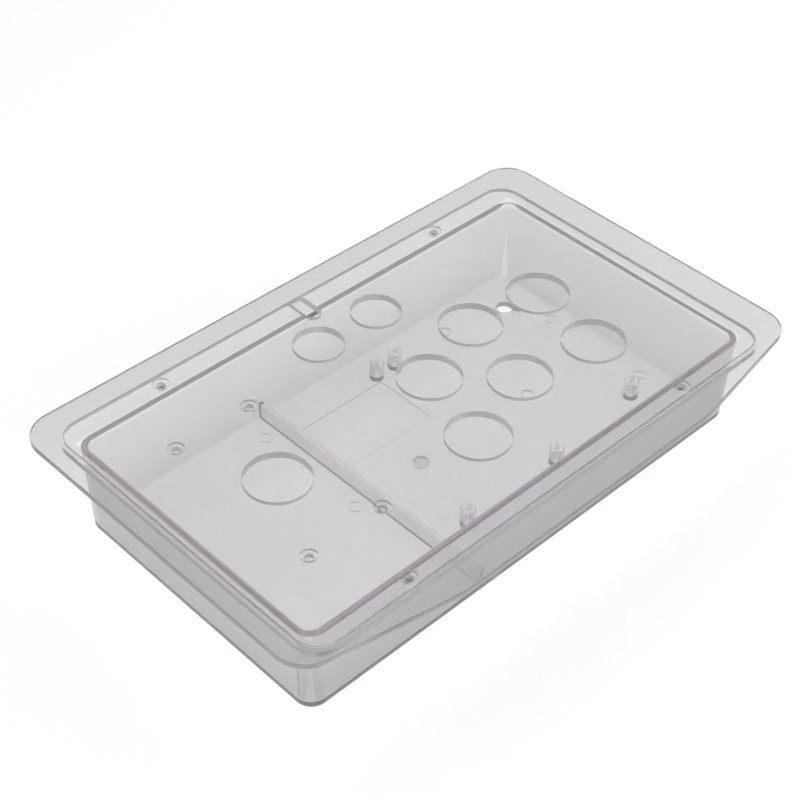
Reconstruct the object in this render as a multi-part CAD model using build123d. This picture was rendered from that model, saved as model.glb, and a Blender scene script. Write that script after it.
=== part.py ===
"""Clear moulded joystick controller enclosure: a flanged tub and a drop-in top panel.

Units are millimetres, +Z is up, +X is the player's right and +Y points away from the player.
The origin is under the middle of the flange, in the plane that the tub stands on.
"""
from build123d import *
import math
import os

# ---- overall sizes ------------------------------------------------------------------
panel_length = 275.0          # top panel, along X
panel_width = 166.0           # top panel, along Y
height = 49.5                 # from the underside of the floor to the top of the panel
flange_margin_ends = 14.0     # flange beyond the panel's two ends, on average
flange_margin_back = 12.5     # flange beyond the panel's back edge
flange_margin_front = 15.5    # flange beyond the panel's front edge, along its straight middle stretch
flange_margin_tips = 2.0      # the same at the two ends of the front edge
flange_straight = 150.0       # length of the straight middle stretch of the front edge
flange_shift = 3.5            # the flange reaches this much further to the right

# ---- walls and sections -------------------------------------------------------------
panel_thickness = 3.5
panel_corner_radius = 11.0
panel_clearance = 0.3         # gap all round between the panel and its recess
flange_thickness = 3.0
flange_corner_radius = 15.0
flange_kink_radius = 40.0     # where the front edge turns from straight to tapered
flange_edge_radius = 0.5
panel_edge_radius = 0.4
ledge_thickness = 2.5         # shelf under the edge of the panel
ledge_skirt = 1.0             # how far the shelf reaches out under the flange
wall_thickness = 3.2
wall_inset = 7.0              # from the panel's long edges to the inner face of the wall, ends
wall_inset_side = 11.5        # the same at the front and back
wall_corner_radius = 5.0      # inner corner of the wall
ledge_edge_radius = 2.0       # rounding where the top of the shelf meets the inner face
wall_draft = 1.3              # how much narrower the tub is at the bottom, on each side
floor_thickness = 2.8
floor_cove = 1.0              # rounding inside, where the floor meets the walls
base_edge_radius = 3.0        # rounding outside, where the floor meets the walls

# ---- openings in the panel (places are measured from the middle of the panel) -------
button_diameter = 30.0
button_centres = [(6.1, 1.9), (45.8, 15.3), (85.9, 10.1), (-5.3, -39.5), (35.9, -25.2), (78.8, -30.8)]
small_button_diameter = 24.0
small_button_centres = [(-15.0, 51.7), (20.3, 51.7)]
stick_centre = (-85.0, -1.0)
stick_diameter = 30.0
stick_screw_spacing = (40.0, 84.0)
stick_screw_diameter = 4.0
rim_screw_spacing = (168.0, 156.0)
rim_screw_diameter = 4.0
screw_recess_diameter = 7.5   # shallow round recess for each screw head
screw_recess_depth = 1.2
cable_notch_x = -2.0
cable_notch_width = 8.0
cable_notch_depth = 16.5      # from the back edge of the panel to the end of the notch

# ---- details of the tub -------------------------------------------------------------
divider_x = -34.8             # cross rib on the floor, right of the joystick
divider_thickness = 2.2
divider_height = 9.0
board_boss_diameter = 7.0     # hollow posts for the circuit boards
board_boss_height = 9.5
board_pilot_diameter = 2.6
board_pilot_depth = 8.0       # from the top of the post; it stops short of the floor
board_boss_centres = [(24.2, 54.4), (36.0, 54.4), (103.8, -37.4), (-13.8, -44.0), (43.9, -44.0)]
label_centre = (-1.5, 34.0)   # shallow rectangular recess in the floor
label_size = (50.0, 33.5)
label_depth = 0.4
drain_centre = (108.5, 50.0)  # through hole in the floor with a small slot beside it
drain_diameter = 8.5
drain_slot_diameter = 3.6
drain_slot_offset = (3.4, -5.4)
gate_centre = (-1.4, -2.4)    # round dimple of the moulding gate
gate_diameter = 8.0
gate_depth = 0.8
ejector_diameter = 6.5        # rings left by the ejector pins
ejector_depth = 0.3
ejector_line = 0.5
ejector_centres = [(-42.7, -2.9), (-43.0, 58.0), (69.9, -2.3), (74.2, 57.9), (118.6, 27.6), (119.0, -30.6)]

# ---- places worked out from the sizes above -----------------------------------------
flange_length = panel_length + 2 * flange_margin_ends
flange_back = panel_width / 2 + flange_margin_back
flange_front = panel_width / 2 + flange_margin_front
flange_side_front = panel_width / 2 + flange_margin_tips
middle = Vector(-flange_shift, (flange_front - flange_back) / 2, 0)      # middle of the panel
panel_bottom = height - panel_thickness
ledge_bottom = panel_bottom - ledge_thickness
flange_bottom = height - flange_thickness
inner_length = panel_length - 2 * wall_inset
inner_width = panel_width - 2 * wall_inset_side
recess_length = panel_length + 2 * panel_clearance
recess_width = panel_width + 2 * panel_clearance
recess_radius = panel_corner_radius + panel_clearance


def at(x, y, z=0.0):
    """A place given from the middle of the panel, as a location in the part's frame."""
    return Pos(middle.X + x, middle.Y + y, z)


def plate(length, width, radius, bottom, top):
    """A flat plate with rounded corners, centred on the panel, between two heights."""
    outline = at(0, 0, bottom) * RectangleRounded(length, width, radius)
    return extrude(outline, top - bottom)


def rod(x, y, diameter, bottom, top):
    """A round upright rod between two heights."""
    return extrude(at(x, y, bottom) * Circle(diameter / 2), top - bottom)


def drafted(length, width, radius, bottom, top):
    """An upright block that is narrower at the bottom by the wall draft."""
    shrink = wall_draft * (top - bottom) / ledge_bottom
    low = at(0, 0, bottom) * RectangleRounded(length - 2 * shrink, width - 2 * shrink, radius)
    high = at(0, 0, top) * RectangleRounded(length, width, radius)
    return loft([low, high])


def corners(spacing):
    """The four corners of a rectangle about its middle."""
    return [(sx * spacing[0] / 2, sy * spacing[1] / 2) for sx in (-1, 1) for sy in (-1, 1)]


def flange_outline():
    """Flat outline of the flange: straight back and ends, front edge bowed out in its middle."""
    half = flange_length / 2
    bow = flange_straight / 2
    points = [
        (-half, flange_back),
        (half, flange_back),
        (half, -flange_side_front),
        (bow, -flange_front),
        (-bow, -flange_front),
        (-half, -flange_side_front),
    ]
    face = make_face(Polyline(*points, close=True))
    ends = [v for v in face.vertices() if abs(v.X) > half - 0.01]
    face = fillet(ends, flange_corner_radius)
    kinks = [v for v in face.vertices() if abs(v.X) < bow + 0.01]
    return fillet(kinks, flange_kink_radius)


def on_opening_rim(edge):
    """True for an edge of the tub's opening that lies in the plane of the shelf's top."""
    box = edge.bounding_box()
    low, high = box.min - middle, box.max - middle
    flat = abs(low.Z - panel_bottom) < 0.01 and abs(high.Z - panel_bottom) < 0.01
    reach_x = inner_length / 2 + 0.01
    reach_y = inner_width / 2 + 0.01
    return flat and -reach_x < low.X and high.X < reach_x and -reach_y < low.Y and high.Y < reach_y


def make_tub():
    """Flange, ledge, walls and floor as one moulding."""
    outer_length = inner_length + 2 * wall_thickness
    outer_width = inner_width + 2 * wall_thickness
    outer_radius = wall_corner_radius + wall_thickness
    shell = drafted(outer_length, outer_width, outer_radius, 0, ledge_bottom)
    shell = fillet(shell.edges().group_by(Axis.Z)[0], base_edge_radius)
    skirt = 2 * ledge_skirt
    ledge = plate(recess_length + skirt, recess_width + skirt, recess_radius + ledge_skirt,
                  ledge_bottom, flange_bottom)
    flange = extrude(at(flange_shift, 0, flange_bottom) * flange_outline(), flange_thickness)
    rims = flange.edges().group_by(Axis.Z)
    flange = fillet(rims[0] + rims[-1], flange_edge_radius)
    tub = shell + ledge + flange
    hollow = drafted(inner_length, inner_width, wall_corner_radius, floor_thickness, ledge_bottom)
    hollow = fillet(hollow.edges().group_by(Axis.Z)[0], floor_cove)
    tub -= hollow
    tub -= plate(inner_length, inner_width, wall_corner_radius, ledge_bottom, panel_bottom)
    tub -= plate(recess_length, recess_width, recess_radius, panel_bottom, height)
    rim = [e for e in tub.edges() if on_opening_rim(e)]
    return fillet(rim, ledge_edge_radius)


def ring(x, y):
    """A thin circular line pressed into the floor by an ejector pin."""
    bottom = floor_thickness - ejector_depth
    outer = rod(x, y, ejector_diameter, bottom, floor_thickness + 1)
    return outer - rod(x, y, ejector_diameter - 2 * ejector_line, bottom, floor_thickness + 1)


def make_divider():
    """Cross rib on the floor, let into the long walls by half their thickness."""
    length = inner_width - 2 * wall_draft + wall_thickness
    rib = Box(divider_thickness, length, divider_height + floor_thickness / 2,
              align=(Align.CENTER, Align.CENTER, Align.MIN))
    return at(divider_x, 0, floor_thickness / 2) * rib


def drain_hole():
    """Round hole through the floor with a narrow slot running out of one side."""
    x, y = drain_centre
    dx, dy = drain_slot_offset
    reach = math.hypot(dx, dy)
    turn = math.degrees(math.atan2(dy, dx))
    slot = at(x + dx / 2, y + dy / 2, -1) * Rot(0, 0, turn) * SlotCenterToCenter(reach, drain_slot_diameter)
    return rod(x, y, drain_diameter, -1, floor_thickness + 1) + extrude(slot, floor_thickness + 2)


def add_floor_details(tub):
    """Divider, board posts, label recess, holes and moulding marks."""
    tub += make_divider()
    post_top = floor_thickness + board_boss_height
    for x, y in board_boss_centres:
        tub += rod(x, y, board_boss_diameter, floor_thickness / 2, post_top)
    for x, y in board_boss_centres:
        tub -= rod(x, y, board_pilot_diameter, post_top - board_pilot_depth, post_top + 1)
    label = at(*label_centre, floor_thickness - label_depth) * Rectangle(*label_size)
    tub -= extrude(label, label_depth + 0.5)
    tub -= rod(*gate_centre, gate_diameter, floor_thickness - gate_depth, floor_thickness + 1)
    for x, y in ejector_centres:
        tub -= ring(x, y)
    return tub - drain_hole()


def add_rim_holes(tub):
    """Screw holes through the ledge."""
    for x, y in corners(rim_screw_spacing):
        tub -= rod(x, y, rim_screw_diameter, ledge_bottom - 1, panel_bottom + 1)
    return tub


def screw_hole(x, y, diameter):
    """A through hole with a shallow round recess for the screw head."""
    recess = rod(x, y, screw_recess_diameter, height - screw_recess_depth, height + 1)
    return rod(x, y, diameter, panel_bottom - 1, height + 1) + recess


def cable_notch():
    """A slot open at the back edge of the panel, with a round inner end."""
    radius = cable_notch_width / 2
    back = panel_width / 2
    end = back - cable_notch_depth + radius
    run = back + 1 - end
    slot = at(cable_notch_x, end + run / 2, panel_bottom - 1) * Rectangle(cable_notch_width, run)
    notch = extrude(slot, panel_thickness + 2)
    return notch + rod(cable_notch_x, end, cable_notch_width, panel_bottom - 1, height + 1)


def make_panel():
    """The drop-in top panel with its button, stick and screw holes."""
    panel = plate(panel_length, panel_width, panel_corner_radius, panel_bottom, height)
    panel = fillet(panel.edges().group_by(Axis.Z)[-1], panel_edge_radius)
    for x, y in button_centres:
        panel -= rod(x, y, button_diameter, panel_bottom - 1, height + 1)
    for x, y in small_button_centres:
        panel -= rod(x, y, small_button_diameter, panel_bottom - 1, height + 1)
    panel -= rod(*stick_centre, stick_diameter, panel_bottom - 1, height + 1)
    for x, y in corners(stick_screw_spacing):
        panel -= screw_hole(stick_centre[0] + x, stick_centre[1] + y, stick_screw_diameter)
    for x, y in corners(rim_screw_spacing):
        panel -= screw_hole(x, y, rim_screw_diameter)
    return panel - cable_notch()


parts = {
    "tub": add_rim_holes(add_floor_details(make_tub())),
    "top_panel": make_panel(),
}
os.makedirs("parts", exist_ok=True)
for name, solid in parts.items():
    export_step(solid, "parts/" + name + ".step")
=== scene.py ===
"""Clear joystick controller enclosure: looks, floor, light and camera around the CAD frame."""
import math

import bpy
from mathutils import Matrix, Vector


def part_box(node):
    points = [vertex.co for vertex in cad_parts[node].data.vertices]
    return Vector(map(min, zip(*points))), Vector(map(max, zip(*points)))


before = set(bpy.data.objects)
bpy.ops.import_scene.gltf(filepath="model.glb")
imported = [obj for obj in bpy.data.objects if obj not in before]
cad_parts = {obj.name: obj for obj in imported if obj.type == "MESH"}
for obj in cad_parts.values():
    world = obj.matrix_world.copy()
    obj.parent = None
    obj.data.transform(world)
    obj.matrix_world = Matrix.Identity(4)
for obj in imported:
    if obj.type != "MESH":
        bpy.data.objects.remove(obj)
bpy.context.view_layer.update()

# ---- places read from the frame, in metres ------------------------------------------
tub_low, tub_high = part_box("tub")
panel_low, panel_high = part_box("top_panel")
panel_middle = (panel_low + panel_high) / 2
panel_top = Vector((panel_middle.x, panel_middle.y, panel_high.z))

# ---- settings -----------------------------------------------------------------------
refraction = 1.52
wave_depth = 0.00002          # slow waviness of the moulded faces
edge_angle = 25               # degrees; sharper turns stay sharp
panel_hair_gap = 0.00004      # the panel's skin is drawn in by this much, for the light only
# tint of the tub by height, with painted shade: the low grey levels at the bottom stand in for the shadow
# under the tub; share of ramp_height, grey level
ramp_height = 0.05
tub_tint_and_shade_levels = [(0.0, 0.65), (0.06, 0.65), (0.45, 0.735), (0.75, 0.80),
              (0.92, 0.80), (0.935, 0.75), (1.0, 0.75)]
inner_tint = (0.90, 0.92, 0.935)         # ribs, posts and other faces inside the walls
rim_tint = (0.97, 0.985, 0.99)           # inner edge of the ledge
step_shade_colour = (0.36, 0.36, 0.37)           # painted shade: the small upright step faces on the floor, dark for the outlines that refraction draws at their edges
gate_pale, gate_dark = (0.56, 0.56, 0.57), (0.42, 0.42, 0.43)
# places in the tub, from the middle of the panel: half length and half width
inner_half = (0.1288, 0.0698)
rim_half = (0.1332, 0.0742)
gate_place, gate_half = (-0.0014, -0.0024), 0.0041
# heights in the tub: two lower limits, then middle and half height of three bands
floor_top, flange_start = 0.0029, 0.0455
step_band, rim_band, gate_band = (0.00265, 0.00013), (0.0448, 0.0016), (0.0021, 0.0004)


# ---- camera -------------------------------------------------------------------------
image_side, focal_length = 800.0, 1763.5     # in the same unit


def add_camera(target, azimuth, elevation, roll, distance, field, shift):
    """Camera on a sphere about the target; azimuth 0 looks along +Y, angles in degrees."""
    a, e = math.radians(azimuth), math.radians(elevation)
    back = Vector((math.sin(a) * math.cos(e), -math.cos(a) * math.cos(e), math.sin(e)))
    data = bpy.data.cameras.new("camera")
    data.angle = math.radians(field)
    data.shift_x, data.shift_y = shift
    camera = bpy.data.objects.new("camera", data)
    camera.location = target + back * distance
    look = (-back).to_track_quat("-Z", "Y")
    camera.rotation_euler = (look.to_matrix() @ Matrix.Rotation(math.radians(roll), 3, "Z")).to_euler()
    bpy.context.scene.collection.objects.link(camera)
    bpy.context.scene.camera = camera


add_camera(
    target=panel_top,
    azimuth=-45.80,
    elevation=41.14,
    roll=2.12,
    distance=0.7761,
    field=2 * math.degrees(math.atan(image_side / 2 / focal_length)),
    shift=(-22.63 / image_side, -16.05 / image_side),
)


# ---- materials ----------------------------------------------------------------------
def node(tree, kind, **values):
    """A shader node with some of its attributes and input defaults set."""
    made = tree.nodes.new(kind)
    for name, value in values.items():
        if hasattr(made, name):
            setattr(made, name, value)
        else:
            made.inputs[name.replace("_", " ")].default_value = value
    return made


def spread(tree, source, from_low, from_high, to_low, to_high):
    """The source socket's value, carried from one range to another and held at its ends."""
    made = node(tree, "ShaderNodeMapRange")
    ends = {"From Min": from_low, "From Max": from_high, "To Min": to_low, "To Max": to_high}
    for name, value in ends.items():
        made.inputs[name].default_value = value
    tree.links.new(source, made.inputs["Value"])
    return made.outputs["Result"]


def math_of(tree, operation, first, second=None):
    """One arithmetic step on a socket with another socket or a number."""
    made = node(tree, "ShaderNodeMath", operation=operation)
    tree.links.new(first, made.inputs[0])
    if isinstance(second, (int, float)):
        made.inputs[1].default_value = second
    elif second is not None:
        tree.links.new(second, made.inputs[1])
    return made.outputs[0]


def inside(tree, along, middle, half):
    """One where a coordinate is nearer to the middle than half, and nought elsewhere."""
    away = math_of(tree, "ABSOLUTE", math_of(tree, "SUBTRACT", along, middle))
    return math_of(tree, "LESS_THAN", away, half)


def within_sides(tree, x, y, half):
    """One inside a rectangle about the middle of the panel."""
    return math_of(tree, "MULTIPLY", inside(tree, x, panel_middle.x, half[0]),
                   inside(tree, y, panel_middle.y, half[1]))


def blend(tree, factor, first, second):
    """A colour between two colours, each a socket or a plain colour."""
    made = node(tree, "ShaderNodeMix", data_type="RGBA")
    tree.links.new(factor, made.inputs[0])
    for slot, colour in ((6, first), (7, second)):
        if isinstance(colour, tuple):
            made.inputs[slot].default_value = (*colour, 1)
        else:
            tree.links.new(colour, made.inputs[slot])
    return made.outputs[2]


def times(tree, first, second):
    """Two colours multiplied."""
    made = node(tree, "ShaderNodeMix", data_type="RGBA", blend_type="MULTIPLY")
    made.inputs[0].default_value = 1.0
    tree.links.new(first, made.inputs[6])
    tree.links.new(second, made.inputs[7])
    return made.outputs[2]


def clear_plastic(name, absorb, density, wave_scale):
    """The shared start of both clear materials; also gives back the object's place and normal."""
    material = bpy.data.materials.new(name)
    material.use_nodes = True
    tree = material.node_tree
    tree.nodes.clear()
    out = node(tree, "ShaderNodeOutputMaterial")
    shader = node(tree, "ShaderNodeBsdfPrincipled")
    shader.inputs["IOR"].default_value = refraction
    place = node(tree, "ShaderNodeTexCoord")
    wave = node(tree, "ShaderNodeTexNoise", Scale=wave_scale, Detail=1.5)
    bump = node(tree, "ShaderNodeBump", Strength=1.0, Distance=wave_depth)
    tree.links.new(place.outputs["Object"], wave.inputs["Vector"])
    tree.links.new(wave.outputs["Fac"], bump.inputs["Height"])
    tree.links.new(bump.outputs["Normal"], shader.inputs["Normal"])
    volume = node(tree, "ShaderNodeVolumeAbsorption")
    volume.inputs["Color"].default_value = (*absorb, 1)
    volume.inputs["Density"].default_value = density
    tree.links.new(shader.outputs["BSDF"], out.inputs["Surface"])
    tree.links.new(volume.outputs["Volume"], out.inputs["Volume"])
    return material, tree, shader, place.outputs["Object"], place.outputs["Normal"]


def cloud_of(tree, place, scale, detail):
    """Soft noise over the object's own coordinates."""
    made = node(tree, "ShaderNodeTexNoise", Scale=scale, Detail=detail)
    tree.links.new(place, made.inputs["Vector"])
    return made.outputs["Fac"]


def parts_of(tree, vector):
    """The three coordinates of a vector socket."""
    made = node(tree, "ShaderNodeSeparateXYZ")
    tree.links.new(vector, made.inputs["Vector"])
    return [made.outputs[k] for k in "XYZ"]


def tub_tint_and_shade(tree, place):
    """Smoke tint of the tub by height, with painted shade: darker towards the bottom for the shadow under the
    tub; slightly uneven, and with a slope along Y on the flange.
    """
    _, y, z = parts_of(tree, place)
    tint_and_shade = node(tree, "ShaderNodeValToRGB")
    while len(tint_and_shade.color_ramp.elements) < len(tub_tint_and_shade_levels):
        tint_and_shade.color_ramp.elements.new(0.5)
    # the low levels at the foot of this ramp are painted shade for the shadow under the tub
    for element, (at_height, level) in zip(tint_and_shade.color_ramp.elements, tub_tint_and_shade_levels):
        element.position = at_height
        element.color = (0.98 * level, level, 1.025 * level, 1)
    tree.links.new(spread(tree, z, 0.0, ramp_height, 0.0, 1.0), tint_and_shade.inputs["Fac"])
    uneven = blend(tree, cloud_of(tree, place, 9.0, 2.0), (1.02, 1.02, 1.02), (0.97, 0.97, 0.97))
    slope = blend(tree, spread(tree, y, -0.1, 0.1, 0.0, 1.0), (1.05, 1.05, 1.05), (0.965, 0.965, 0.965))
    on_flange = math_of(tree, "GREATER_THAN", z, flange_start)
    slope = blend(tree, on_flange, (1.0, 1.0, 1.0), slope)
    return times(tree, times(tree, tint_and_shade.outputs["Color"], uneven), slope)


def tub_plastic():
    """Clear plastic with a faint smoke tint, deepened downwards by painted shade for the shadow under the
    tub, clearer on the ribs and posts inside.
    """
    material, tree, shader, place, _ = clear_plastic("tub_clear", (0.86, 0.80, 0.79), 120.0, 25.0)
    x, y, z = parts_of(tree, place)
    within = within_sides(tree, x, y, inner_half)
    # painted shade: the upright faces of the small step on the floor, masked here, are coloured dark
    step_shade_mask = math_of(tree, "MULTIPLY", within, inside(tree, z, *step_band))
    above_floor = math_of(tree, "MULTIPLY", within, math_of(tree, "GREATER_THAN", z, floor_top))
    rim = math_of(tree, "MULTIPLY", within_sides(tree, x, y, rim_half), inside(tree, z, *rim_band))
    gate = math_of(tree, "MULTIPLY", inside(tree, x, panel_middle.x + gate_place[0], gate_half),
                   inside(tree, y, panel_middle.y + gate_place[1], gate_half))
    gate = math_of(tree, "MULTIPLY", gate, inside(tree, z, *gate_band))
    colour = tub_tint_and_shade(tree, place)
    # clearer tints for the inner faces and the ledge edge, then painted shade on the step faces
    for mask, tint_and_shade in ((above_floor, inner_tint), (rim, rim_tint), (step_shade_mask, step_shade_colour)):
        colour = blend(tree, mask, colour, tint_and_shade)
    colour = blend(tree, gate, colour, blend(tree, cloud_of(tree, place, 900.0, 1.0), gate_pale, gate_dark))
    tree.links.new(colour, shader.inputs["Base Color"])
    haze = spread(tree, cloud_of(tree, place, 60.0, 3.0), 0.0, 1.0, 0.0, 0.03)
    rough = math_of(tree, "ADD", haze, math_of(tree, "MULTIPLY", gate, 0.5))
    tree.links.new(rough, shader.inputs["Roughness"])
    tree.links.new(spread(tree, gate, 0.0, 1.0, 0.90, 0.5), shader.inputs["Transmission Weight"])
    return material


def panel_plastic():
    """Clear plastic with hardly any tint, frosted on the upright faces that a cutter has left."""
    material, tree, shader, place, normal = clear_plastic("panel_clear", (0.92, 0.88, 0.88), 100.0, 18.0)
    colour = blend(tree, cloud_of(tree, place, 9.0, 2.0), (0.97, 0.975, 0.98), (0.95, 0.955, 0.96))
    tree.links.new(colour, shader.inputs["Base Color"])
    upright = math_of(tree, "ABSOLUTE", parts_of(tree, normal)[2])
    haze = spread(tree, cloud_of(tree, place, 60.0, 3.0), 0.0, 1.0, 0.0, 0.03)
    rough = math_of(tree, "ADD", haze, spread(tree, upright, 0.5, 0.1, 0.0, 0.5))
    tree.links.new(rough, shader.inputs["Roughness"])
    tree.links.new(spread(tree, upright, 0.5, 0.1, 0.96, 0.5), shader.inputs["Transmission Weight"])
    return material


def dress(name, material, gap=0.0):
    """Gives a CAD node its material, draws its skin in by a hair where asked, so that touching
    faces stay apart for the light, and smooths its facets where the turn is gentle."""
    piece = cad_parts[name]
    piece.data.materials.clear()
    piece.data.materials.append(material)
    piece.data.polygons.foreach_set("use_smooth", [True] * len(piece.data.polygons))
    weld = piece.modifiers.new("join", "WELD")
    weld.merge_threshold = 1e-6
    if gap:
        shrink = piece.modifiers.new("hair_gap", "DISPLACE")
        shrink.strength = -gap
        shrink.mid_level = 0.0
    split = piece.modifiers.new("edges", "EDGE_SPLIT")
    split.split_angle = math.radians(edge_angle)
    normals = piece.modifiers.new("normals", "WEIGHTED_NORMAL")
    normals.mode = "FACE_AREA"
    normals.weight = 100
    piece.visible_shadow = False
    return piece


dress("tub", tub_plastic())
dress("top_panel", panel_plastic(), panel_hair_gap)


# ---- floor, light -------------------------------------------------------------------
def add_floor():
    """A wide pale floor under the tub."""
    size = 6.0
    mesh = bpy.data.meshes.new("studio_floor")
    half = size / 2
    level = tub_low.z - 0.0001
    mesh.from_pydata([(-half, -half, level), (half, -half, level), (half, half, level), (-half, half, level)],
                     [], [(0, 1, 2, 3)])
    floor = bpy.data.objects.new("studio_floor", mesh)
    bpy.context.scene.collection.objects.link(floor)
    material = bpy.data.materials.new("pale_floor")
    material.use_nodes = True
    shader = material.node_tree.nodes["Principled BSDF"]
    shader.inputs["Base Color"].default_value = (0.92, 0.92, 0.92, 1)
    shader.inputs["Roughness"].default_value = 0.9
    shader.inputs["Specular IOR Level"].default_value = 0.0
    mesh.materials.append(material)


def add_world(strength):
    """Even white studio surroundings."""
    world = bpy.data.worlds.new("studio")
    world.use_nodes = True
    world.node_tree.nodes["Background"].inputs["Color"].default_value = (1, 1, 1, 1)
    world.node_tree.nodes["Background"].inputs["Strength"].default_value = strength
    bpy.context.scene.world = world


def add_lamp(place, size, power):
    """A large soft square lamp, aimed at the middle of the panel."""
    data = bpy.data.lights.new("soft_lamp", "AREA")
    data.shape = "SQUARE"
    data.size = size
    data.energy = power
    lamp = bpy.data.objects.new("soft_lamp", data)
    lamp.location = place
    lamp.rotation_euler = (panel_top - Vector(place)).to_track_quat("-Z", "Y").to_euler()
    lamp.visible_transmission = False
    bpy.context.scene.collection.objects.link(lamp)


add_floor()
add_world(0.65)
add_lamp((0.3, -0.4, 2.4), 1.6, 33.0)
scene = bpy.context.scene
scene.view_settings.view_transform = "Standard"
scene.cycles.max_bounces = 24
scene.cycles.transmission_bounces = 24
scene.cycles.glossy_bounces = 12
